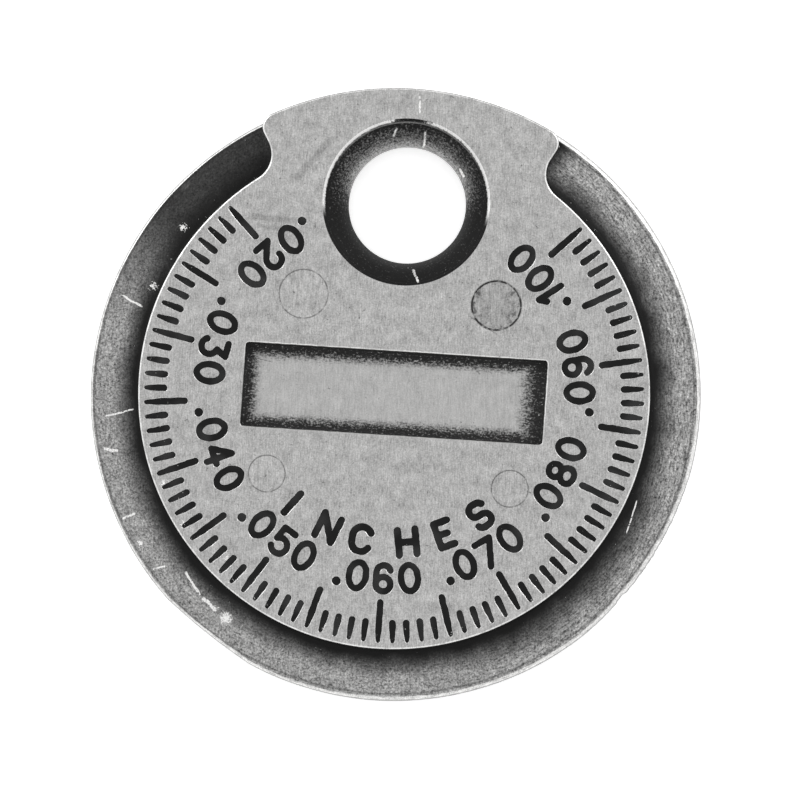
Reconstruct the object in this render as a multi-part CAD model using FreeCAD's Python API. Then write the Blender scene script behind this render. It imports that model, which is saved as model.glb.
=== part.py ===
"""Coin-style ramp gauge for setting spark plug gaps, in millimetres.

The gauge lies on its back. Z is 0 at the back plateau and +Z is the front face's normal.
+Y points from the middle of the disc to the keyring hole. Angles run counterclockwise
from +X, seen from the front. One zinc casting carries every shape, and the black fill
in each group of engraved marks is a node of its own.
"""
import FreeCAD, Part
import math
import os

INCH = 25.4

# Disc
DISC_RADIUS = 0.75 * INCH
PLATEAU_RADIUS = 15.9
THICKNESS = 3.3
BACK_RELIEF = 0.3            # the rim's back lies this far above the back plateau
EDGE_BREAK = 0.10            # 45 degree bevel along the edges of both faces

# Tab that holds the keyring hole, between the two ends of the ramp
TAB_HALF_ANGLE = 30.2
TAB_CORNER_RADIUS = 0.9
CHANNEL_CORNER_RADIUS = 1.7

# Scale: angle of the 0.020 in mark, and turn per 0.001 in
FIRST_THOU = 20
LAST_THOU = 100
LONG_TICK_THOU = 5
NUMERAL_THOU = 10
FIRST_ANGLE = 135.0
ANGLE_PER_THOU = 270.0 / (LAST_THOU - FIRST_THOU)
THOU = INCH / 1000.0

# Metric scale on the back
FIRST_MM = 0.5
LAST_MM = 2.5
LONG_TICK_MM = 0.1
SHORT_TICKS_PER_LONG = 5
FIRST_NUMERAL_MM = 0.6
NUMERAL_STEP_MM = 0.2
NUMERAL_COUNT_MM = 10

# Ramp rim
RIM_END_OVERLAP = 8.0        # degrees of rim buried in each side of the tab
RIM_INNER_OVERLAP = 1.0      # width of rim buried in the plateau
RIM_EDGE_BREAK = 0.14        # 45 degree bevel along the rim's upper edge

# Keyring hole: a bell mouth on each face, and a short straight land between them
HOLE_Y = 11.93
HOLE_LAND_RADIUS = 3.66
HOLE_FRONT_RADIUS = 5.19
HOLE_BACK_RADIUS = 4.4
HOLE_LAND_BOTTOM = 0.7
HOLE_LAND_TOP = 1.3
HOLE_MOUTH_BULGE = 0.16

# Long pocket in the middle of the front
POCKET_LENGTH = 18.75
POCKET_WIDTH = 5.2
POCKET_DEPTH = 0.7
POCKET_CORNER_RADIUS = 0.2
POCKET_FOOT_ROUND = 0.15

# Ejector-pin marks on the front
UPPER_PIN_X = 6.0
UPPER_PIN_Y = 5.83
UPPER_PIN_RADIUS = 1.52
LOWER_PIN_X = 7.55
LOWER_PIN_Y = -5.48
LOWER_PIN_RADIUS = 1.14
PIN_MARK_DEPTH = 0.03

# Engraving
ENGRAVING_DEPTH = 0.25
FILL_RECESS = 0.05
TICK_WIDTH = 0.34
TICK_TIP_WIDTH = 0.20
TICK_TAPER_LENGTH = 0.9
TICK_OUTER_RADIUS = 15.5
LONG_TICK_INNER_RADIUS = 12.85
SHORT_TICK_INNER_RADIUS = 14.1

# Numerals
NUMERAL_RADIUS = 11.52
DIGIT_STROKE = 0.34
DIGIT_HALF_WIDTH = 0.53
DIGIT_HALF_HEIGHT = 0.81
DIGIT_STEP_ANGLE = 8.05
DIGIT_MIDDLE_ANGLE = 0.45
NARROW_FIRST_SHIFTS = (-1.0, -3.6, -3.4)   # a numeral that starts with 1 closes up
POINT_ANGLE = -13.3
POINT_RADIUS_OUT = 12.17
POINT_DIAMETER = 0.48
METRIC_DIGIT_ANGLE = 5.6

# Unit letters
LETTER_RADIUS = 9.28
LETTER_STROKE = 0.38
LETTER_HALF_WIDTH = 0.55
LETTER_HALF_HEIGHT = 0.77
INCH_LETTERS = (("I", 231.0), ("N", 247.6), ("C", 261.2), ("H", 278.8), ("E", 293.3), ("S", 308.8))
METRIC_LETTERS = (("M", 259.5), ("M", 280.5))

UP = FreeCAD.Vector(0, 0, 1)
ORIGIN = FreeCAD.Vector(0, 0, 0)


def point(x, y, z=0.0):
    return FreeCAD.Vector(x, y, z)


def polar(radius, angle, z=0.0, centre=ORIGIN):
    """Point at a radius and an angle in degrees around a centre."""
    turn = math.radians(angle)
    return point(centre.x + radius * math.cos(turn), centre.y + radius * math.sin(turn), z)


def line(start, end):
    return Part.LineSegment(start, end).toShape()


def arc(centre, radius, start_angle, end_angle):
    """Arc edge from one angle to another, through the angle halfway."""
    ends = (start_angle, 0.5 * (start_angle + end_angle), end_angle)
    return Part.Arc(*(polar(radius, angle, centre=centre) for angle in ends)).toShape()


def face_of(edges):
    return Part.Face(Part.Wire(edges))


# Strokes of the engraved figures, as flat faces


def line_stroke(start, end, width):
    """Straight stroke with round ends."""
    along = end.sub(start)
    heading = math.degrees(math.atan2(along.y, along.x))
    half = 0.5 * width
    left = heading + 90
    right = heading - 90
    return face_of([
        line(polar(half, right, centre=start), polar(half, right, centre=end)),
        arc(end, half, right, left),
        line(polar(half, left, centre=end), polar(half, left, centre=start)),
        arc(start, half, left, left + 180),
    ])


def arc_stroke(centre, radius, start_angle, end_angle, width):
    """Curved stroke with round ends, from a smaller angle to a larger one."""
    half = 0.5 * width
    start = polar(radius, start_angle, centre=centre)
    end = polar(radius, end_angle, centre=centre)
    return face_of([
        arc(centre, radius + half, start_angle, end_angle),
        arc(end, half, end_angle, end_angle + 180),
        arc(centre, radius - half, end_angle, start_angle),
        arc(start, half, start_angle + 180, start_angle + 360),
    ])


def ellipse_face(centre, half_width, half_height):
    """Flat ellipse whose longer half may lie along either axis."""
    if half_width >= half_height:
        curve = Part.Ellipse(ORIGIN, half_width, half_height)
        turn = 0
    else:
        curve = Part.Ellipse(ORIGIN, half_height, half_width)
        turn = 90
    face = face_of([curve.toShape()])
    face.rotate(ORIGIN, UP, turn)
    face.translate(centre)
    return face


def ring_stroke(centre, half_width, half_height, width):
    """Closed oval stroke around a centre line of the given halves."""
    half = 0.5 * width
    outer = ellipse_face(centre, half_width + half, half_height + half)
    inner = ellipse_face(centre, half_width - half, half_height - half)
    return outer.cut(inner).Faces[0]


def figure(strokes):
    """One flat figure from overlapping strokes."""
    if len(strokes) == 1:
        return strokes[0]
    return strokes[0].fuse(strokes[1:]).removeSplitter()


# Digits. Each is centred on the origin, upright along +Y.


def digit_zero():
    return [ring_stroke(ORIGIN, DIGIT_HALF_WIDTH, DIGIT_HALF_HEIGHT, DIGIT_STROKE)]


def digit_one():
    top = DIGIT_HALF_HEIGHT
    flag = 0.35
    return [
        line_stroke(point(0, -top), point(0, top), DIGIT_STROKE),
        line_stroke(point(-flag, top - flag), point(0, top), DIGIT_STROKE),
    ]


def digit_two():
    top = DIGIT_HALF_HEIGHT
    bow = 0.48
    bow_centre = point(0, top - bow)
    bow_end = polar(bow, -45, centre=bow_centre)
    foot = point(bow_end.x - (bow_end.y + top), -top)
    return [
        arc_stroke(bow_centre, bow, -45, 185, DIGIT_STROKE),
        line_stroke(bow_end, foot, DIGIT_STROKE),
        line_stroke(foot, point(bow, -top), DIGIT_STROKE),
    ]


def lower_bowl(start_angle):
    """Open bowl of the 3 and the 5, from its lower left tip round to start_angle."""
    bowl = 0.5
    centre = point(0, bowl - DIGIT_HALF_HEIGHT)
    stroke = arc_stroke(centre, bowl, -150, start_angle, DIGIT_STROKE)
    return stroke, polar(bowl, start_angle, centre=centre)


def digit_three():
    top = DIGIT_HALF_HEIGHT
    bar = 0.42
    bowl, bowl_start = lower_bowl(80)
    return [
        bowl,
        line_stroke(point(-bar, top), point(bar, top), DIGIT_STROKE),
        line_stroke(point(bar, top), bowl_start, DIGIT_STROKE),
    ]


def digit_four():
    top = DIGIT_HALF_HEIGHT
    stem = 0.19
    bar = 0.5
    bar_height = -0.31
    return [
        line_stroke(point(stem, -top), point(stem, top), DIGIT_STROKE),
        line_stroke(point(-bar, bar_height), point(stem, top), DIGIT_STROKE),
        line_stroke(point(-bar, bar_height), point(bar, bar_height), DIGIT_STROKE),
    ]


def digit_five():
    top = DIGIT_HALF_HEIGHT
    stem = -0.35
    bar_end = 0.45
    bowl, bowl_start = lower_bowl(140)
    return [
        bowl,
        line_stroke(point(stem, top), point(bar_end, top), DIGIT_STROKE),
        line_stroke(point(stem, top), bowl_start, DIGIT_STROKE),
    ]


def digit_six():
    bowl = 0.45
    rise = DIGIT_HALF_HEIGHT - bowl
    return [
        ring_stroke(point(0, -rise), bowl, bowl, DIGIT_STROKE),
        arc_stroke(point(0, rise), bowl, 20, 180, DIGIT_STROKE),
        line_stroke(point(-bowl, rise), point(-bowl, -rise), DIGIT_STROKE),
    ]


def digit_seven():
    top = DIGIT_HALF_HEIGHT
    foot = -0.28
    return [
        line_stroke(point(-DIGIT_HALF_WIDTH, top), point(DIGIT_HALF_WIDTH, top), DIGIT_STROKE),
        line_stroke(point(DIGIT_HALF_WIDTH, top), point(foot, -top), DIGIT_STROKE),
    ]


def digit_eight():
    top = DIGIT_HALF_HEIGHT
    upper_half_width = 0.42
    upper_half_height = 0.385
    lower_half_width = 0.5
    lower_half_height = top - upper_half_height
    return [
        ring_stroke(point(0, top - upper_half_height), upper_half_width, upper_half_height, DIGIT_STROKE),
        ring_stroke(point(0, lower_half_height - top), lower_half_width, lower_half_height, DIGIT_STROKE),
    ]


def digit_nine():
    strokes = digit_six()
    for stroke in strokes:
        stroke.rotate(ORIGIN, UP, 180)
    return strokes


# Letters, centred and upright in the same way


def letter_c():
    bow = 0.58
    rise = LETTER_HALF_HEIGHT - bow
    return [
        arc_stroke(point(0, rise), bow, 30, 180, LETTER_STROKE),
        line_stroke(point(-bow, rise), point(-bow, -rise), LETTER_STROKE),
        arc_stroke(point(0, -rise), bow, 180, 330, LETTER_STROKE),
    ]


def letter_e():
    top = LETTER_HALF_HEIGHT
    arm = 0.44
    middle_arm = 0.2
    return [
        line_stroke(point(-arm, -top), point(-arm, top), LETTER_STROKE),
        line_stroke(point(-arm, top), point(arm, top), LETTER_STROKE),
        line_stroke(point(-arm, 0), point(middle_arm, 0), LETTER_STROKE),
        line_stroke(point(-arm, -top), point(arm, -top), LETTER_STROKE),
    ]


def letter_stems(half_width):
    top = LETTER_HALF_HEIGHT
    return [
        line_stroke(point(side, -top), point(side, top), LETTER_STROKE)
        for side in (-half_width, half_width)
    ]


def letter_h():
    crossbar = line_stroke(point(-LETTER_HALF_WIDTH, 0), point(LETTER_HALF_WIDTH, 0), LETTER_STROKE)
    return letter_stems(LETTER_HALF_WIDTH) + [crossbar]


def letter_i():
    return [line_stroke(point(0, -LETTER_HALF_HEIGHT), point(0, LETTER_HALF_HEIGHT), LETTER_STROKE)]


def letter_m():
    top = LETTER_HALF_HEIGHT
    half_width = 0.65
    valley_height = -0.2
    valley = point(0, valley_height)
    slopes = [
        line_stroke(point(side, top), valley, LETTER_STROKE)
        for side in (-half_width, half_width)
    ]
    return letter_stems(half_width) + slopes


def letter_n():
    top = LETTER_HALF_HEIGHT
    half_width = LETTER_HALF_WIDTH
    diagonal = line_stroke(point(-half_width, top), point(half_width, -top), LETTER_STROKE)
    return letter_stems(half_width) + [diagonal]


def letter_s():
    """Two bows that turn opposite ways, with short level runs between them."""
    bow = 0.5 * LETTER_HALF_HEIGHT
    run = 0.12
    half = []
    half.append(arc_stroke(point(-run, bow), bow, 90, 270, LETTER_STROKE))
    half.append(line_stroke(point(-run, 2 * bow), point(run, 2 * bow), LETTER_STROKE))
    half.append(arc_stroke(point(run, bow), bow, 25, 90, LETTER_STROKE))
    other_half = [stroke.copy() for stroke in half]
    for stroke in other_half:
        stroke.rotate(ORIGIN, UP, 180)
    middle = line_stroke(point(-run, 0), point(run, 0), LETTER_STROKE)
    return half + [middle] + other_half


GLYPHS = {
    "0": digit_zero, "1": digit_one, "2": digit_two, "3": digit_three, "4": digit_four,
    "5": digit_five, "6": digit_six, "7": digit_seven, "8": digit_eight, "9": digit_nine,
    "C": letter_c, "E": letter_e, "H": letter_h, "I": letter_i, "M": letter_m,
    "N": letter_n, "S": letter_s,
}


def placed_glyph(name, radius, angle):
    """Glyph whose feet point away from the middle of the disc."""
    glyph = figure(GLYPHS[name]())
    glyph.rotate(ORIGIN, UP, angle + 90)
    glyph.translate(polar(radius, angle))
    return glyph


def tick(angle, inner_radius):
    """Radial mark with a round inner end, narrowing to a small round tip at the outer end."""
    half = 0.5 * TICK_WIDTH
    tip = 0.5 * TICK_TIP_WIDTH
    taper = TICK_OUTER_RADIUS - TICK_TAPER_LENGTH
    inner = point(inner_radius + half, 0)
    outer = point(TICK_OUTER_RADIUS - tip, 0)
    face = face_of([
        arc(inner, half, 90, 270),
        line(point(inner.x, -half), point(taper, -half)),
        line(point(taper, -half), point(outer.x, -tip)),
        arc(outer, tip, -90, 90),
        line(point(outer.x, tip), point(taper, half)),
        line(point(taper, half), point(inner.x, half)),
    ])
    face.rotate(ORIGIN, UP, angle)
    return face


# Marks of the front


def thou_angle(thou):
    return FIRST_ANGLE + (thou - FIRST_THOU) * ANGLE_PER_THOU


def front_ticks(long_ones):
    inner_radius = LONG_TICK_INNER_RADIUS if long_ones else SHORT_TICK_INNER_RADIUS
    return [
        tick(thou_angle(thou), inner_radius)
        for thou in range(FIRST_THOU, LAST_THOU + 1)
        if (thou % LONG_TICK_THOU == 0) == long_ones
    ]


def decimal_point(angle):
    return ellipse_face(polar(POINT_RADIUS_OUT, angle), 0.5 * POINT_DIAMETER, 0.5 * POINT_DIAMETER)


def front_numeral(thou):
    """Point and three digits, with the middle digit just past the mark's own angle."""
    middle = thou_angle(thou) + DIGIT_MIDDLE_ANGLE
    faces = [decimal_point(thou_angle(thou) + POINT_ANGLE)]
    for place, digit in enumerate(f"{thou:03d}"):
        angle = middle + (place - 1) * DIGIT_STEP_ANGLE
        if thou == LAST_THOU:
            angle += NARROW_FIRST_SHIFTS[place]
        faces.append(placed_glyph(digit, NUMERAL_RADIUS, angle))
    return faces


# Marks of the back, laid out as if on a front face and then turned over


def mm_angle(size):
    return 180.0 - thou_angle(size / THOU)


def back_ticks(long_ones):
    inner_radius = LONG_TICK_INNER_RADIUS if long_ones else SHORT_TICK_INNER_RADIUS
    short_step = LONG_TICK_MM / SHORT_TICKS_PER_LONG
    count = round((LAST_MM - FIRST_MM) / short_step)
    return [
        tick(mm_angle(FIRST_MM + step * short_step), inner_radius)
        for step in range(count + 1)
        if (step % SHORT_TICKS_PER_LONG == 0) == long_ones
    ]


def back_numeral(size):
    """Two digits, one each side of a point that stands at the mark's own angle."""
    angle = mm_angle(size)
    whole, tenths = f"{size:.1f}".split(".")
    return [
        placed_glyph(whole, NUMERAL_RADIUS, angle - METRIC_DIGIT_ANGLE),
        decimal_point(angle),
        placed_glyph(tenths, NUMERAL_RADIUS, angle + METRIC_DIGIT_ANGLE),
    ]


def letters(layout):
    return [placed_glyph(name, LETTER_RADIUS, angle) for name, angle in layout]


def turned_over(face):
    """A flat face at height 0 turned half a turn about the Y axis, as it's read from the back."""
    turned = face.copy()
    turned.rotate(ORIGIN, point(0, 1, 0), 180)
    return turned


def front_marks():
    marks = {
        "long_tick_fill": front_ticks(True),
        "short_tick_fill": front_ticks(False),
        "unit_letter_fill": letters(INCH_LETTERS),
    }
    for thou in range(FIRST_THOU, LAST_THOU + 1, NUMERAL_THOU):
        marks[f"numeral_fill_{thou:03d}"] = front_numeral(thou)
    return marks


def back_marks():
    marks = {
        "metric_long_tick_fill": back_ticks(True),
        "metric_short_tick_fill": back_ticks(False),
        "metric_unit_letter_fill": letters(METRIC_LETTERS),
    }
    for step in range(NUMERAL_COUNT_MM):
        size = FIRST_NUMERAL_MM + step * NUMERAL_STEP_MM
        marks[f"metric_numeral_fill_{round(10 * size):02d}"] = back_numeral(size)
    return marks


def solids_from(faces, bottom, top):
    """Upright solids between two heights, one from each flat face."""
    solids = []
    for face in faces:
        raised = face.copy()
        raised.translate(point(0, 0, bottom))
        solids.extend(raised.extrude(point(0, 0, top - bottom)).Solids)
    return solids


# The casting


def full_height_face():
    """Plan of what stands at full height: the plateau and the tab with the keyring hole."""
    fillet_path = PLATEAU_RADIUS + CHANNEL_CORNER_RADIUS
    fillet_turn = math.degrees(math.asin(CHANNEL_CORNER_RADIUS / fillet_path))
    corner_path = DISC_RADIUS - TAB_CORNER_RADIUS
    corner_turn = math.degrees(math.asin(TAB_CORNER_RADIUS / corner_path))
    right_wall = 90 - TAB_HALF_ANGLE
    left_wall = 90 + TAB_HALF_ANGLE
    wall_inner = fillet_path * math.cos(math.radians(fillet_turn))
    wall_outer = corner_path * math.cos(math.radians(corner_turn))
    right_corner = polar(corner_path, right_wall + corner_turn)
    left_corner = polar(corner_path, left_wall - corner_turn)
    right_fillet = polar(fillet_path, right_wall - fillet_turn)
    left_fillet = polar(fillet_path, left_wall + fillet_turn)
    return face_of([
        arc(ORIGIN, DISC_RADIUS, right_wall + corner_turn, left_wall - corner_turn),
        arc(left_corner, TAB_CORNER_RADIUS, left_wall - corner_turn, left_wall + 90),
        line(polar(wall_outer, left_wall), polar(wall_inner, left_wall)),
        arc(left_fillet, CHANNEL_CORNER_RADIUS, left_wall - 90, left_wall + fillet_turn - 180),
        arc(ORIGIN, PLATEAU_RADIUS, left_wall + fillet_turn, right_wall - fillet_turn + 360),
        arc(right_fillet, CHANNEL_CORNER_RADIUS, right_wall - fillet_turn + 180, right_wall + 90),
        line(polar(wall_inner, right_wall), polar(wall_outer, right_wall)),
        arc(right_corner, TAB_CORNER_RADIUS, right_wall - 90, right_wall + corner_turn),
    ])


def ramp_height(angle):
    """Height of the ramp's surface at an angle on the scale."""
    thou = FIRST_THOU + (angle - FIRST_ANGLE) / ANGLE_PER_THOU
    return BACK_RELIEF + thou * THOU


def helix(radius, lift, start_angle, end_angle):
    """Edge that climbs with the ramp at one radius, at a fixed lift above its surface."""
    turns = (end_angle - start_angle) / 360.0
    climb = ramp_height(end_angle) - ramp_height(start_angle)
    wire = Part.makeHelix(climb / turns, climb, radius)
    wire.rotate(ORIGIN, UP, start_angle)
    wire.translate(point(0, 0, ramp_height(start_angle) + lift))
    return wire


def ramp_rim():
    """Rim that grows thicker with the angle, and whose ends are buried in the tab."""
    start_angle = 90 + TAB_HALF_ANGLE - RIM_END_OVERLAP
    end_angle = 450 - TAB_HALF_ANGLE + RIM_END_OVERLAP
    inner_radius = PLATEAU_RADIUS - RIM_INNER_OVERLAP
    ring = Part.makeCylinder(DISC_RADIUS, THICKNESS, ORIGIN, UP, end_angle - start_angle)
    ring = ring.cut(Part.makeCylinder(inner_radius, THICKNESS))
    ring.rotate(ORIGIN, UP, start_angle)
    ring.translate(point(0, 0, BACK_RELIEF))
    margin = 1.0
    span = (start_angle - margin, end_angle + margin)
    slope = Part.makeRuledSurface(
        helix(inner_radius - margin, 0, *span),
        helix(DISC_RADIUS + margin, 0, *span),
    )
    broken_edge = Part.makeRuledSurface(
        helix(DISC_RADIUS - RIM_EDGE_BREAK - margin, margin, *span),
        helix(DISC_RADIUS + margin, -RIM_EDGE_BREAK - margin, *span),
    )
    above = point(0, 0, 2 * THICKNESS)
    return ring.cut([slope.extrude(above), broken_edge.extrude(above)])


def keyring_hole():
    """Space of the hole: back mouth, straight land and front mouth, turned about its axis."""
    front_middle = point(
        0.5 * (HOLE_LAND_RADIUS + HOLE_FRONT_RADIUS) - HOLE_MOUTH_BULGE, 0,
        0.5 * (HOLE_LAND_TOP + THICKNESS) + HOLE_MOUTH_BULGE,
    )
    back_middle = point(
        0.5 * (HOLE_LAND_RADIUS + HOLE_BACK_RADIUS) - 0.5 * HOLE_MOUTH_BULGE, 0,
        0.5 * HOLE_LAND_BOTTOM - 0.5 * HOLE_MOUTH_BULGE,
    )
    back_rim = point(HOLE_BACK_RADIUS, 0, 0)
    land_bottom = point(HOLE_LAND_RADIUS, 0, HOLE_LAND_BOTTOM)
    land_top = point(HOLE_LAND_RADIUS, 0, HOLE_LAND_TOP)
    front_rim = point(HOLE_FRONT_RADIUS, 0, THICKNESS)
    profile = face_of([
        line(ORIGIN, back_rim),
        Part.Arc(back_rim, back_middle, land_bottom).toShape(),
        line(land_bottom, land_top),
        Part.Arc(land_top, front_middle, front_rim).toShape(),
        line(front_rim, point(0, 0, THICKNESS)),
        line(point(0, 0, THICKNESS), ORIGIN),
    ])
    hole = profile.revolve(ORIGIN, UP, 360)
    hole.translate(point(0, HOLE_Y, 0))
    return hole


def pocket():
    """Space of the long shallow pocket, with small rounds in its corners and along its foot."""
    floor = THICKNESS - POCKET_DEPTH
    corner = point(-0.5 * POCKET_LENGTH, -0.5 * POCKET_WIDTH, floor)
    space = Part.makeBox(POCKET_LENGTH, POCKET_WIDTH, 2 * POCKET_DEPTH, corner)
    upright = [edge for edge in space.Edges if edge.BoundBox.ZLength > POCKET_DEPTH]
    space = space.makeFillet(POCKET_CORNER_RADIUS, upright)
    foot = [edge for edge in space.Edges if abs(edge.BoundBox.ZMax - floor) < 0.5 * POCKET_DEPTH]
    return space.makeFillet(POCKET_FOOT_ROUND, foot)


def pin_marks():
    """Four shallow round marks that the mould's ejector pins leave."""
    marks = []
    for x, y, radius in (
        (UPPER_PIN_X, UPPER_PIN_Y, UPPER_PIN_RADIUS),
        (LOWER_PIN_X, LOWER_PIN_Y, LOWER_PIN_RADIUS),
    ):
        for side in (-1, 1):
            foot = point(side * x, y, THICKNESS - PIN_MARK_DEPTH)
            marks.append(Part.makeCylinder(radius, 2 * PIN_MARK_DEPTH, foot))
    return marks


def blank():
    """Casting before its marks are engraved."""
    plan = full_height_face()
    plateau = plan.extrude(point(0, 0, THICKNESS))
    level = [edge for edge in plateau.Edges if edge.BoundBox.ZLength < 0.5 * THICKNESS]
    plateau = plateau.makeChamfer(EDGE_BREAK, level)
    body = plateau.fuse(ramp_rim()).removeSplitter()
    return body.cut([keyring_hole(), pocket()] + pin_marks())


def build():
    front = front_marks()
    back = {
        name: [turned_over(face) for face in faces]
        for name, faces in back_marks().items()
    }
    front_floor = THICKNESS - ENGRAVING_DEPTH
    grooves = []
    nodes = {}
    for name, faces in front.items():
        grooves += solids_from(faces, front_floor, THICKNESS + ENGRAVING_DEPTH)
        nodes[name] = solids_from(faces, front_floor, THICKNESS - FILL_RECESS)
    for name, faces in back.items():
        grooves += solids_from(faces, -ENGRAVING_DEPTH, ENGRAVING_DEPTH)
        nodes[name] = solids_from(faces, FILL_RECESS, ENGRAVING_DEPTH)
    body = blank().cut(grooves)
    nodes["cast_body"] = body.Solids
    return nodes


def main():
    os.makedirs("parts", exist_ok=True)
    for name, solids in build().items():
        Part.makeCompound(solids).exportStep(f"parts/{name}.step")
        volume = sum(solid.Volume for solid in solids)
        print(f"{name}: {len(solids)} solids, {volume:.3f} mm3")


main()
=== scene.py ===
"""Coin-style ramp gap gauge: worn edges, marks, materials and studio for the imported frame.

Shapes are worked out in millimetres, and new_object scales them to the scene's metres.
"""
import math

import bmesh
import bpy
from mathutils import Matrix, Vector, noise
from mathutils.geometry import delaunay_2d_cdt


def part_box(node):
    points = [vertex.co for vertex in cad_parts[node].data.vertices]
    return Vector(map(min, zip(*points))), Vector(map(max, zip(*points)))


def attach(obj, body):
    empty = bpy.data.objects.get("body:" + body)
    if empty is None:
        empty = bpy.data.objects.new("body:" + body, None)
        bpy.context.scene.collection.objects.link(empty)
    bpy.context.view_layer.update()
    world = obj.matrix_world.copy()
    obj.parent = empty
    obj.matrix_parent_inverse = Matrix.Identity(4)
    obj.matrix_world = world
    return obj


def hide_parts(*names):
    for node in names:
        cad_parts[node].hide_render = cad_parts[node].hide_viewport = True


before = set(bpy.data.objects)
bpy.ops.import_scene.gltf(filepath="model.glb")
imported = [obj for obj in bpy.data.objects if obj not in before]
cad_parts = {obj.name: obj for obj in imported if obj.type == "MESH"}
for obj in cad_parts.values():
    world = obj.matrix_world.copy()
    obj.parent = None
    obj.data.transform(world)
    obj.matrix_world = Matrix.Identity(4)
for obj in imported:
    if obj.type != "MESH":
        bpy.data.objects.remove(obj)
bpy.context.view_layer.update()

# Sizes of the casting, in millimetres and degrees, as the frame has them
MM = 0.001
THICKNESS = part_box("cast_body")[1][2] / MM
DISC_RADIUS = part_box("cast_body")[1][0] / MM
PLATEAU_RADIUS = 15.9
BACK_RELIEF = 0.3
TAB_HALF_ANGLE = 30.2
TAB_CORNER_RADIUS = 0.9
CHANNEL_CORNER_RADIUS = 1.7
FIRST_MARK_ANGLE = 135.0
FIRST_MARK_THICKNESS = 0.020 * 25.4
CLIMB_PER_DEGREE = 0.080 * 25.4 / 270.0
HOLE_Y = 11.93
HOLE_FRONT_RADIUS = 5.19
HOLE_BACK_RADIUS = 4.4
HOLE_LAND_RADIUS = 3.66
HOLE_LAND_BOTTOM = 0.7
HOLE_LAND_TOP = 1.3
POCKET_HALF_LENGTH = 9.375
POCKET_HALF_WIDTH = 2.6
POCKET_DEPTH = 0.7
POCKET_CORNER_RADIUS = 0.2
PIN_MARKS = tuple(
    (side * x, y, radius)
    for x, y, radius in ((6.0, 5.83, 1.52), (7.55, -5.48, 1.14))
    for side in (1, -1)
)
ENGRAVING_DEPTH = 0.25

# Finer shapes of the casting that only the looks need, in millimetres and degrees
POINT_SPACING = 0.15
MARK_SPACING = 0.09
POCKET_SPACING = 0.3
GRID_SPACING = 1.3
GRID_MARGIN = 0.6
GRID_MARGIN_ANGLE = 5.0
SMALLEST_EDGE = 0.025
CORNER_PASSES = 2
INSIDE_EDGES = 1            # the triangulation that stays within its edges
SHARP_ANGLE = 35.0
TAB_INSET = 0.006           # keeps the tab's top inside the frame's box
EDGE_ROUND = 0.13
ROUND_STEPS = 4
RIM_INSET = 0.014
RIM_WOBBLE = 0.012
RIM_OVERLAP = 1.0           # how far the rim is buried in the plateau
RIM_LOWER_ROUND = 0.08
RIM_EDGE_ROUND = 0.38
RIM_LEAST_ROUND = 0.4       # share of it at the thin end
RIM_GROWTH_START = 190.0
RIM_GROWTH_SPAN = 80.0
RIM_BURIED_ANGLE = 6.0
FOOT_ROUND = 0.45
FOOT_END_INSET = 0.5        # how far inside the disc's edge the foot's fillet ends
FOOT_FADE_LENGTH = 0.8
MARK_GROWTH = 0.03          # how far the front's fills spread past the frame's
MARK_LIP = 0.08             # and their grooves at the face
BACK_MARK_LIP = 0.05
HOLLOW_LIP = 0.04           # the most of these inside a numeral's closed part
MARK_RAGGEDNESS = 0.03
POCKET_RAGGEDNESS = 0.02
WAVES_PER_MM = 3.0
NORMAL_EASING = 6           # keeps the lips of close walls apart
FILL_SINK = 0.03
HOLE_BACK_PULL = (3.75, 0.25)       # radius and height that bend the curve below the land
HOLE_FRONT_PULL = (4.05, 2.5)       # and the one above it
HOLE_EDGE_WIDTH = 0.14
HOLE_STEP_INSET = 0.19
HOLE_STEP_DEPTH = 0.24
PIN_MARK_DEPTH = 0.02
DEEPER_PIN_MARK = 0.012     # added to the ones at the right
POCKET_FOOT_RADIUS = 0.17
POCKET_LIP = 0.12
WALL_DRAFT = 0.10
THIN_END_FLARE = 0.07       # the rim's wall spreads downwards where it is thin

# Old scratches down to bare metal, dark ones, and dull smudges: start, end and width
BRIGHT_SCRATCHES = (
    ((-17.6, 5.3), (-16.0, 4.5), 0.15),
    ((-18.1, -2.5), (-16.1, -1.8), 0.12),
    ((-18.0, -4.4), (-16.9, -4.6), 0.24),
    ((-16.5, -8.8), (-15.6, -8.3), 0.16),
    ((-14.4, -11.8), (-13.5, -11.5), 0.12),
    ((-12.4, -11.7), (-11.2, -13.3), 0.18),
    ((-11.2, -13.3), (-10.2, -14.1), 0.24),
    ((15.5, -5.5), (14.9, -7.9), 0.09),
    ((0.4, 18.7), (0.5, 17.4), 0.13),
    ((0.9, 16.5), (0.8, 15.5), 0.15),
    ((0.6, 7.9), (1.1, 6.9), 0.18),
    ((-0.9, 16.6), (-1.1, 16.0), 0.13),
    ((3.1, 14.4), (3.5, 13.8), 0.15),
)
DARK_SCRATCHES = (
    ((4.7, 2.1), (5.3, 1.5), 0.12),
    ((4.2, 5.2), (6.4, 3.9), 0.08),
    ((-9.2, 1.8), (-7.6, 1.5), 0.10),
)
SMUDGES = (
    ((-10.0, 10.5), (-6.2, 10.3), 0.45),
    ((-9.6, 9.9), (-6.0, 9.7), 0.35),
    ((-7.2, 12.6), (-4.7, 15.9), 0.5),
    ((-11.6, -2.2), (-10.9, -4.4), 0.7),
)
BARE_SPOTS = (
    (-9.6, -14.5, 0.42), (-15.5, 5.9, 0.22), (-13.9, 9.7, 0.18), (-10.3, -14.0, 0.2),
    (-9.5, -11.0, 0.3), (-13.8, -6.5, 0.2), (-15.2, -10.2, 0.16), (-12.5, -9.0, 0.12),
)

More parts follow.
